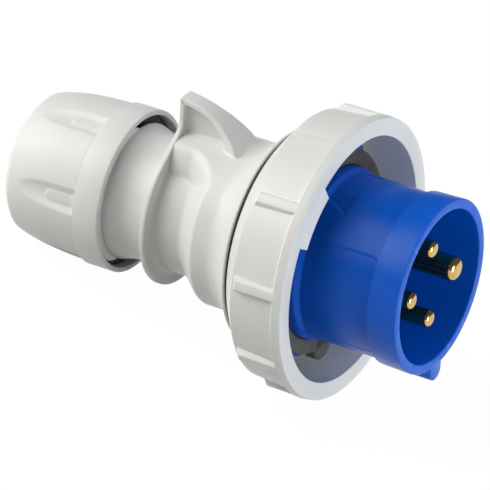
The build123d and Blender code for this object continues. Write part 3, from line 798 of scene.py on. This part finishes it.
# Bayonet collar


def collar_ring(s):
    """Ring with its journal, front face, band, panels and tapered back."""
    return spun(
        (
            (COLLAR_BACK_X, COLLAR_BORE_R, 0.2),
            (COLLAR_STEP_X, COLLAR_BORE_R, 0),
            (COLLAR_STEP_X, COLLAR_POCKET_R, 0.2),
            (COLLAR_FLOOR_X, COLLAR_POCKET_R, 0.5),
            (COLLAR_FLOOR_X, s.mouth_radius - 0.4, 1.4),
            (COLLAR_FACE_X, s.mouth_radius, 0.2),
            (COLLAR_FACE_X, s.face_radius, 0.35),
            (BAND_BACK_X, s.band_radius, 0.16),
            (PANEL_X, s.band_radius - 1.2, 0.25),
            (PANEL_BACK_X, s.band_radius - 2.2, 0.35),
            (COLLAR_BACK_X, COLLAR_BACK_R, 0.35),
        ),
        steps=FINE_STEPS // 3 * 2,
    )


def grip_rib(s):
    """One rib at clock zero, flush with the band, with sloping flanks and a chamfered end."""
    front = BAND_BACK_X + 0.6
    foot, crest = s.rib_back_radius - 2.5, s.band_radius - 0.02
    flank_slope, edge_round = 0.4, 0.24
    narrow = s.rib_width / 2
    wide = narrow + flank_slope * (crest - foot)
    bm = extruded(
        ((-wide, foot, 0), (-narrow, crest, 0), (narrow, crest, 0), (wide, foot, 0)),
        (RIB_BACK_X - front, 0, 0),
    )
    bmesh.ops.translate(bm, verts=bm.verts, vec=(front, 0, 0))
    for vert in bm.verts:
        if vert.co.x < RIB_BACK_X + 0.01 and vert.co.z > foot + 0.01:
            vert.co.x = RIB_CREST_BACK_X
            vert.co.z = s.rib_back_radius
    crest_edges = [
        e for e in bm.edges if all(v.co.z > foot + 0.01 for v in e.verts)
        and not all(v.co.x > front - 0.01 for v in e.verts)
    ]
    flanks = [
        e for e in bm.edges
        if all(v.co.x < RIB_CREST_BACK_X + 0.01 for v in e.verts)
        and abs(e.verts[0].co.z - e.verts[1].co.z) > 1
    ]
    rounded(bm, crest_edges + flanks, edge_round)
    wrapped(bm)
    return bm


def bayonet_tab(s):
    """One tab inside the collar's mouth, just proud of its face."""
    bm = bmesh.new()
    bmesh.ops.create_cube(bm, size=1.0)
    half, thickness, centre = math.radians(14.6), 3.5, 1.74
    low, high = s.tab_radius, s.mouth_radius + 1.0
    middle = (low + high) / 2
    for vert in bm.verts:
        vert.co.x = COLLAR_FACE_X - centre + vert.co.x * thickness
        vert.co.y *= 2 * half * middle
        vert.co.z = middle + vert.co.z * (high - low)
    lengthwise = [e for e in bm.edges if abs(e.verts[0].co.y - e.verts[1].co.y) > 1]
    bmesh.ops.subdivide_edges(bm, edges=lengthwise, cuts=23)
    for vert in bm.verts:
        turn = vert.co.y / middle
        radius = vert.co.z
        vert.co.y, vert.co.z = radius * math.sin(turn), radius * math.cos(turn)
    return bm


class PLUG_OT_collar(bpy.types.Operator):
    """Build the bayonet collar with its grip ribs and inner tabs"""

    bl_idname = "plug.collar"
    bl_label = "Bayonet collar"

    def execute(self, context):
        settings = context.scene.plug_collar
        s = Millimetres(settings)
        collar = collar_ring(s)
        ribs = grip_rib(s)
        copied_round(ribs, settings.ribs, RIB_CLOCK)
        add(collar, ribs)
        for clock in TAB_CLOCKS:
            tab = bayonet_tab(s)
            turned_to(tab, clock)
            add(collar, tab)
        finish_piece(
            "bayonet_ring", collar, "collar", finish("shell_grey"),
            ["bayonet_collar"],
        )
        return {"FINISHED"}


# Gland nut


def cap_radius(x, s):
    """Radius of the nut's cap, bulging and narrowing to the back."""
    taper, curl = 0.75, 2.1
    t = (CAP_X - x) / (CAP_X - NUT_EDGE_X)
    return s.cap_radius - taper * t - curl * t**3


def flute_relief(x, clock, s, settings):
    """Radius of the cap with its leaf-shaped flutes and the raised tongue in each."""
    seam = 0.16 if x > RING_BACK_X - 0.1 else 0.0
    skin = cap_radius(x, s) - seam
    floor_front, floor_drop, floor_length = 21.55, 0.42, 16.5
    tongue_start, tongue_height, edge_blend = 7.0, 0.38, 0.22
    pitch = 360 / settings.flutes
    off = (clock - math.degrees(settings.flute_phase) + pitch / 2) % pitch - pitch / 2
    across = math.radians(off) * skin
    floor = floor_front - floor_drop * (CAP_X - x) / floor_length
    if abs(across) >= s.flute_radius - 0.5:
        return skin
    cut = floor + s.flute_radius - math.sqrt(s.flute_radius**2 - across**2)
    end = x - (CAP_X - tongue_start)
    reach = math.hypot(across, min(0.0, end)) if end < 0 else abs(across)
    pad = 1 - smooth_step(1.3, 1.8, reach)
    cut += pad * max(0.0, floor + tongue_height - cut)
    return smooth_min(skin, cut, edge_blend)


def nut_body(s, settings):
    """Smooth ring, fluted cap, thread bore, washer pocket and cable hole."""
    edge_radius = cap_radius(NUT_EDGE_X, s)
    bm = spun(
        (
            (LIP_X, s.ring_radius - 1.4, 0.25),
            (LIP_X, s.ring_radius, 0.35),
            (RING_BACK_X, s.ring_radius, 0.1),
            (RING_BACK_X - 0.04, s.cap_radius, 0),
            (NUT_EDGE_X, edge_radius, 0),
            (NUT_BACK_X, edge_radius - 3.0, 2.6),
            (NUT_BACK_X, s.cable_radius + 1.2, 0.4),
            (NUT_BACK_X + 1.2, s.cable_radius, 0.4),
            (NUT_FLOOR_X, s.cable_radius, 0),
            (NUT_FLOOR_X, WASHER_R, 0),
            (THREAD_BACK_X, WASHER_R, 0),
            (THREAD_BACK_X, NUT_BORE_R, 0),
            (SEAL_BACK_X - 0.3, NUT_BORE_R, 0),
            (SEAL_BACK_X - 0.3, s.ring_radius - 1.4, 0),
        ),
        steps=FINE_STEPS,
        fine=(NUT_EDGE_X - 0.1, RING_BACK_X, 0.4),
    )
    for vert in bm.verts:
        radius, clock = polar(vert.co)
        if NUT_EDGE_X - 0.05 < vert.co.x < RING_BACK_X - 0.02 and radius > NUT_BORE_R + 0.9:
            set_radius(vert, flute_relief(vert.co.x, clock, s, settings))
    return bm


class PLUG_OT_gland(bpy.types.Operator):
    """Build the gland nut and the black ring in front of it"""

    bl_idname = "plug.gland"
    bl_label = "Gland nut"

    def execute(self, context):
        settings = context.scene.plug_nut
        s = Millimetres(settings)
        finish_piece(
            "fluted_nut", nut_body(s, settings), "nut", finish("shell_grey"),
            ["gland_nut"],
        )
        inner, outer = BOSS_R + 0.05, 21.6
        ring = spun(
            (
                (SEAL_BACK_X, inner, 0), (LEDGE_BACK_X, inner, 0),
                (LEDGE_BACK_X, outer, 0.4), (SEAL_BACK_X, outer, 0.3),
            )
        )
        finish_piece(
            "black_ring", ring, "body", finish("black_rubber"), ["nut_seal"]
        )
        return {"FINISHED"}


# Shroud, gasket and pins


def arrow_depth(x, across):
    """Share of full depth in an arrow mark whose point is towards the collar."""
    half_width, long, from_point = 3.6, 6.5, x - ARROW_POINT_X
    edge = half_width * (from_point / long) - across
    return smooth_step(-0.08, 0.12, min(edge, ARROW_BASE_X - x, from_point + 0.1))


def shroud_relief(x, clock, s):
    """Radius of the shroud's neck, with the bare panel and the arrow marks cut in."""
    corner, half_length, half_width = 1.8, 10.65, 15.9
    per_degree = s.neck_radius * math.pi / 180
    along = abs(x - SHROUD_PANEL_X) - half_length + corner
    across = abs(clock - 90) * per_degree - half_width + corner
    outside = math.hypot(max(0.0, along), max(0.0, across)) + min(0.0, max(along, across)) - corner
    radius = s.neck_radius - s.panel_depth * (1 - smooth_step(-0.1, 0.1, outside))
    for middle in ARROW_CLOCKS:
        radius -= s.arrow_depth * arrow_depth(x, abs(clock - middle) * per_degree)
    return radius


def shroud_body(s):
    """Blue shroud with front ring, neck, base ring, flange and contact block."""
    bore = s.mouth_radius - s.wall
    bm = spun(
        (
            (0, bore, 0.35),
            (0, s.mouth_radius, 0.4),
            (FRONT_RING_X, s.mouth_radius - 0.3, 0.12),
            (FRONT_RING_X, s.neck_radius, 0),
            (NECK_END_X, s.neck_radius, 0),
            (BASE_RING_X, s.mouth_radius - 0.3, 0.3),
            (FLANGE_X, s.mouth_radius - 0.3, 0),
            (FLANGE_X, FLANGE_R, 0.25),
            (FLANGE_BACK_X, FLANGE_R, 0.25),
            (FLANGE_BACK_X, SPIGOT_R, 0),
            (SPIGOT_BACK_X, SPIGOT_R, 0.3),
            (SPIGOT_BACK_X, SPIGOT_BORE_R, 0),
            (BLOCK_BACK_X, SPIGOT_BORE_R, 0),
            (BLOCK_BACK_X, 0.0, 0),
            (FLOOR_X, 0.0, 0),
            (FLOOR_X, bore - 0.5, 0.8),
        ),
        steps=FINE_STEPS,
        fine=(NECK_END_X - 0.3, FRONT_RING_X + 0.05, 0.25),
    )
    for vert in bm.verts:
        radius, clock = polar(vert.co)
        between = NECK_END_X - 0.05 < vert.co.x < FRONT_RING_X - 0.05
        if between and s.neck_radius - 0.05 < radius < s.neck_radius + 0.02:
            set_radius(vert, shroud_relief(vert.co.x, clock, s))
    return bm


def key_lug(s):
    """Key below the mouth, with a round end."""
    half, low, high = 2.9, 29.2, s.neck_radius + 0.3
    corners = ((-half, -high, 0), (-half, -low, 2.6), (half, -low, 2.85), (half, -high, 0))
    bm = extruded(corners, (FRONT_RING_X, 0, 0), 10)
    bmesh.ops.translate(bm, verts=bm.verts, vec=(0.01, 0, 0))
    outline = [
        e for e in bm.edges
        if all(v.co.x > -0.01 for v in e.verts) and min(v.co.z for v in e.verts) < -high - 0.1
    ]
    rounded(bm, outline, 0.12, 2)
    return bm


def block_in_sector(x_low, x_high, r_low, r_high, start, stop, cuts=7):
    """Small block bent round the plug between two clock angles."""
    bm = bmesh.new()
    bmesh.ops.create_cube(bm, size=1.0)
    middle = (r_low + r_high) / 2
    for vert in bm.verts:
        vert.co.x = (x_low + x_high) / 2 + vert.co.x * (x_high - x_low)
        vert.co.y *= math.radians(stop - start) * middle
        vert.co.z = middle + vert.co.z * (r_high - r_low)
    rounded(bm, bm.edges[:], 0.15, 2)
    lengthwise = [e for e in bm.edges if abs(e.verts[0].co.y - e.verts[1].co.y) > 1]
    bmesh.ops.subdivide_edges(bm, edges=lengthwise, cuts=cuts)
    wrapped(bm)
    turned_to(bm, (start + stop) / 2)
    return bm


class PLUG_OT_shroud(bpy.types.Operator):
    """Build the blue shroud and the rubber gasket round its base"""

    bl_idname = "plug.shroud"
    bl_label = "Shroud"

    def execute(self, context):
        s = Millimetres(context.scene.plug_shroud)
        shroud = shroud_body(s)
        add(shroud, key_lug(s))
        for clock in CATCH_CLOCKS:
            start, stop = clock - 4.5, clock + 4.5
            add(shroud, block_in_sector(FLANGE_BACK_X, FLANGE_X, 28.6, 31.3, start, stop))
        add(shroud, block_in_sector(BASE_RING_X - 2.5, BASE_RING_X + 0.1, 22.7, 26.4, 171, 179))
        finish_piece(
            "blue_shroud", shroud, "body", finish("shroud_blue"),
            ["shroud_insert"],
        )
        inner, outer, thick = 24.75, FLANGE_R - 0.2, 3.5
        front, lobe_radius = FLANGE_X + thick, 4.5
        gasket = spun(
            (
                (FLANGE_X, inner, 0), (front - 0.6, inner, 0), (front, inner + 0.4, 0.2),
                (front, outer, 0.5), (FLANGE_X, outer, 0.2),
            )
        )
        lobe = bmesh.new()
        bmesh.ops.create_cone(
            lobe, cap_ends=True, segments=48, radius1=lobe_radius, radius2=lobe_radius,
            depth=thick,
        )
        bmesh.ops.rotate(
            lobe, verts=lobe.verts, cent=(0, 0, 0), matrix=Matrix.Rotation(math.pi / 2, 3, "Y")
        )
        bmesh.ops.translate(lobe, verts=lobe.verts, vec=(FLANGE_X + thick / 2, 0, 28.7))
        rim = [
            e for e in lobe.edges
            if e.calc_face_angle(0) > 1 and e.verts[0].co.x > front - 0.5
        ]
        rounded(lobe, rim, 0.5, 4)
        turned_to(lobe, LOBE_CLOCK)
        add(gasket, lobe)
        finish_piece(
            "rubber_gasket", gasket, "body", finish("gasket_rubber"),
            ["flange_gasket"],
        )
        return {"FINISHED"}


def contact_pin(radius, recess, wire, clock, circle):
    """Turned pin with its tip, collar and the barrel that takes the wire."""
    collar, barrel, tip_round = radius + 1.1, radius + 0.9, radius * 0.5
    bm = spun(
        (
            (-recess, 0, 0), (-recess, radius, tip_round),
            (BLOCK_BACK_X + 2.5, radius, 0), (BLOCK_BACK_X + 2.5, collar, 0.2),
            (BLOCK_BACK_X, collar, 0.2), (BLOCK_BACK_X, barrel, 0),
            (PIN_BACK_X, barrel, 0.3), (PIN_BACK_X, wire, 0.2),
            (PIN_BACK_X + 9.0, wire, 0), (PIN_BACK_X + 9.6, 0, 0),
        ),
        steps=PIN_STEPS,
        segments=6,
    )
    bmesh.ops.translate(bm, verts=bm.verts, vec=(0, 0, circle))
    turned_to(bm, clock)
    return bm


class PLUG_OT_pins(bpy.types.Operator):
    """Build the three line pins and the earth pin"""

    bl_idname = "plug.pins"
    bl_label = "Contact pins"

    def execute(self, context):
        s = Millimetres(context.scene.plug_shroud)
        for number, clock in ((1, 0), (2, 90), (3, 180)):
            bm = contact_pin(s.line_pin_radius, 2.0, 1.9, clock, s.pin_circle)
            finish_piece(
                f"line_pin_{number}", bm, "body", finish("pin_brass"),
                [f"pin_line_{number}"],
            )
        bm = contact_pin(s.earth_pin_radius, 0.3, 2.3, 270, s.pin_circle)
        finish_piece(
            "earth_pin", bm, "body", finish("pin_brass"), ["pin_earth"]
        )
        return {"FINISHED"}


class PLUG_OT_inner_parts(bpy.types.Operator):
    """Give each carried-over node of the frame the finish of its material slot"""

    bl_idname = "plug.inner_parts"
    bl_label = "Inner parts"

    def execute(self, context):
        for part in frame["record"]["subparts"]:
            node = frame["nodes"][part["node"]]
            node.data.materials.clear()
            node.data.materials.append(finish(part["material_slot"]))
        return {"FINISHED"}


# Stage


def area_lamp(name, towards, distance, size, power, tone):
    """Soft square lamp that looks at the plug from a direction of the row frame."""
    lamp = bpy.data.lights.new(name, "AREA")
    lamp.shape = "SQUARE"
    lamp.size = size
    lamp.energy = power
    lamp.color = tone
    holder = bpy.data.objects.new(name, lamp)
    direction = Vector(towards).normalized()
    holder.location = direction * distance + Vector((0, 0, 0.04))
    holder.rotation_mode = "QUATERNION"
    holder.rotation_quaternion = direction.to_track_quat("Z", "Y")
    bpy.context.scene.collection.objects.link(holder)
    return holder


def photo_camera():
    """Camera of the photograph, given in the plug's own frame."""
    right = Vector((0.862017, 0.505765, 0.033593))
    up = Vector((-0.276249, 0.413200, 0.867728))
    back = Vector((0.424986, -0.757276, 0.495903))
    data = bpy.data.cameras.new("photo_camera")
    data.sensor_width = 36.0
    data.lens = 537.28
    data.clip_start, data.clip_end = 0.1, 20.0
    camera = bpy.data.objects.new("photo_camera", data)
    turned = TURN @ Matrix((right, up, back)).transposed()
    camera.matrix_world = turned.to_4x4()
    camera.location = PLACE @ Vector((795.63, -1526.82, 993.53))
    bpy.context.scene.collection.objects.link(camera)
    bpy.context.scene.camera = camera


def white_sky(strength, gloss):
    """Even light from all round, plain white where the camera sees it."""
    world = bpy.data.worlds.new("white_sky")
    bpy.context.scene.world = world
    world.use_nodes = True
    tree = world.node_tree
    tree.nodes.clear()
    output = tree.nodes.new("ShaderNodeOutputWorld")
    light = tree.nodes.new("ShaderNodeBackground")
    light.inputs["Color"].default_value = (0.82, 0.91, 1.0, 1.0)
    seen = tree.nodes.new("ShaderNodeBackground")
    seen.inputs["Color"].default_value = (1.0, 1.0, 1.0, 1.0)
    path = tree.nodes.new("ShaderNodeLightPath")
    share = tree.nodes.new("ShaderNodeMapRange")
    share.inputs["To Min"].default_value = strength
    share.inputs["To Max"].default_value = gloss
    tree.links.new(path.outputs["Is Glossy Ray"], share.inputs["Value"])
    tree.links.new(share.outputs["Result"], light.inputs["Strength"])
    mix = tree.nodes.new("ShaderNodeMixShader")
    tree.links.new(path.outputs["Is Camera Ray"], mix.inputs["Fac"])
    tree.links.new(light.outputs["Background"], mix.inputs[1])
    tree.links.new(seen.outputs["Background"], mix.inputs[2])
    tree.links.new(mix.outputs["Shader"], output.inputs["Surface"])


def pale_floor(tone):
    """Wide plain floor, white to the camera and in gloss, that keeps the plug's shadow."""
    white_share, white_strength = 0.92, 1.06
    bm = bmesh.new()
    bmesh.ops.create_grid(bm, x_segments=2, y_segments=2, size=4.0)
    mesh = bpy.data.meshes.new("floor")
    bm.to_mesh(mesh)
    bm.free()
    material, shader = new_material("pale_floor")
    shader.inputs["Base Color"].default_value = (*tone, 1.0)
    shader.inputs["Roughness"].default_value = 0.9
    tree = material.node_tree
    glow = tree.nodes.new("ShaderNodeEmission")
    glow.inputs["Strength"].default_value = white_strength
    path = tree.nodes.new("ShaderNodeLightPath")
    white = tree.nodes.new("ShaderNodeMath")
    white.operation = "MAXIMUM"
    share = tree.nodes.new("ShaderNodeMath")
    share.operation = "MULTIPLY"
    share.inputs[1].default_value = white_share
    mix = tree.nodes.new("ShaderNodeMixShader")
    output = next(n for n in tree.nodes if n.type == "OUTPUT_MATERIAL")
    tree.links.new(path.outputs["Is Camera Ray"], white.inputs[0])
    tree.links.new(path.outputs["Is Glossy Ray"], white.inputs[1])
    tree.links.new(white.outputs["Value"], share.inputs[0])
    tree.links.new(share.outputs["Value"], mix.inputs["Fac"])
    tree.links.new(shader.outputs["BSDF"], mix.inputs[1])
    tree.links.new(glow.outputs["Emission"], mix.inputs[2])
    tree.links.new(mix.outputs["Shader"], output.inputs["Surface"])
    mesh.materials.append(material)
    floor = bpy.data.objects.new("floor", mesh)
    bpy.context.scene.collection.objects.link(floor)


class PLUG_OT_stage(bpy.types.Operator):
    """Make the pale floor, the lamps, the sky and the camera of the photograph"""

    bl_idname = "plug.stage"
    bl_label = "Stage"

    def execute(self, context):
        s = context.scene.plug_stage
        pale_floor(s.floor)
        white_sky(s.sky_strength, s.sky_gloss)
        area_lamp("key", (-0.75, -0.75, 0.9), 1.0, 0.8, s.key_power, (1.0, 1.0, 0.98))
        area_lamp("left", (-1.0, -0.4, 0.25), 1.0, 0.8, s.left_power, (1.0, 0.97, 0.92))
        area_lamp("right", (1.0, -0.16, 0.2), 1.1, 0.6, s.right_power, (0.93, 0.965, 1.0))
        back = area_lamp("back", (0.3, 0.6, 0.8), 1.0, 0.8, s.back_power, (0.85, 0.92, 1.0))
        back.visible_glossy = False
        context.scene.view_settings.view_transform = "Standard"
        photo_camera()
        return {"FINISHED"}


class PLUG_PT_panel(bpy.types.Panel):
    """Sidebar panel that lists the plug's pieces"""

    bl_idname = "PLUG_PT_panel"
    bl_label = "Pin and Sleeve Plug"
    bl_space_type = "VIEW_3D"
    bl_region_type = "UI"
    bl_category = "Plug"

    def draw(self, context):
        for operator in OPERATORS:
            self.layout.operator(operator.bl_idname)


GROUPS = {
    "plug_housing": HousingSettings,
    "plug_collar": CollarSettings,
    "plug_nut": NutSettings,
    "plug_shroud": ShroudSettings,
    "plug_finish": FinishSettings,
    "plug_stage": StageSettings,
}
OPERATORS = (
    PLUG_OT_stage,
    PLUG_OT_inner_parts,
    PLUG_OT_housing,
    PLUG_OT_collar,
    PLUG_OT_gland,
    PLUG_OT_shroud,
    PLUG_OT_pins,
)


def register():
    """Registers the settings, the operators and the panel."""
    for name, group in GROUPS.items():
        bpy.utils.register_class(group)
        setattr(bpy.types.Scene, name, bpy.props.PointerProperty(type=group))
    for operator in OPERATORS:
        bpy.utils.register_class(operator)
    bpy.utils.register_class(PLUG_PT_panel)


def unregister():
    """Takes away what register added."""
    bpy.utils.unregister_class(PLUG_PT_panel)
    for operator in reversed(OPERATORS):
        bpy.utils.unregister_class(operator)
    for name, group in GROUPS.items():
        delattr(bpy.types.Scene, name)
        bpy.utils.unregister_class(group)


def main():
    """Builds every piece."""
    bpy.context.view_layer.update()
    register()
    for operator in OPERATORS:
        group, action = operator.bl_idname.split(".")
        getattr(getattr(bpy.ops, group), action)()


if __name__ == "__main__":
    main()
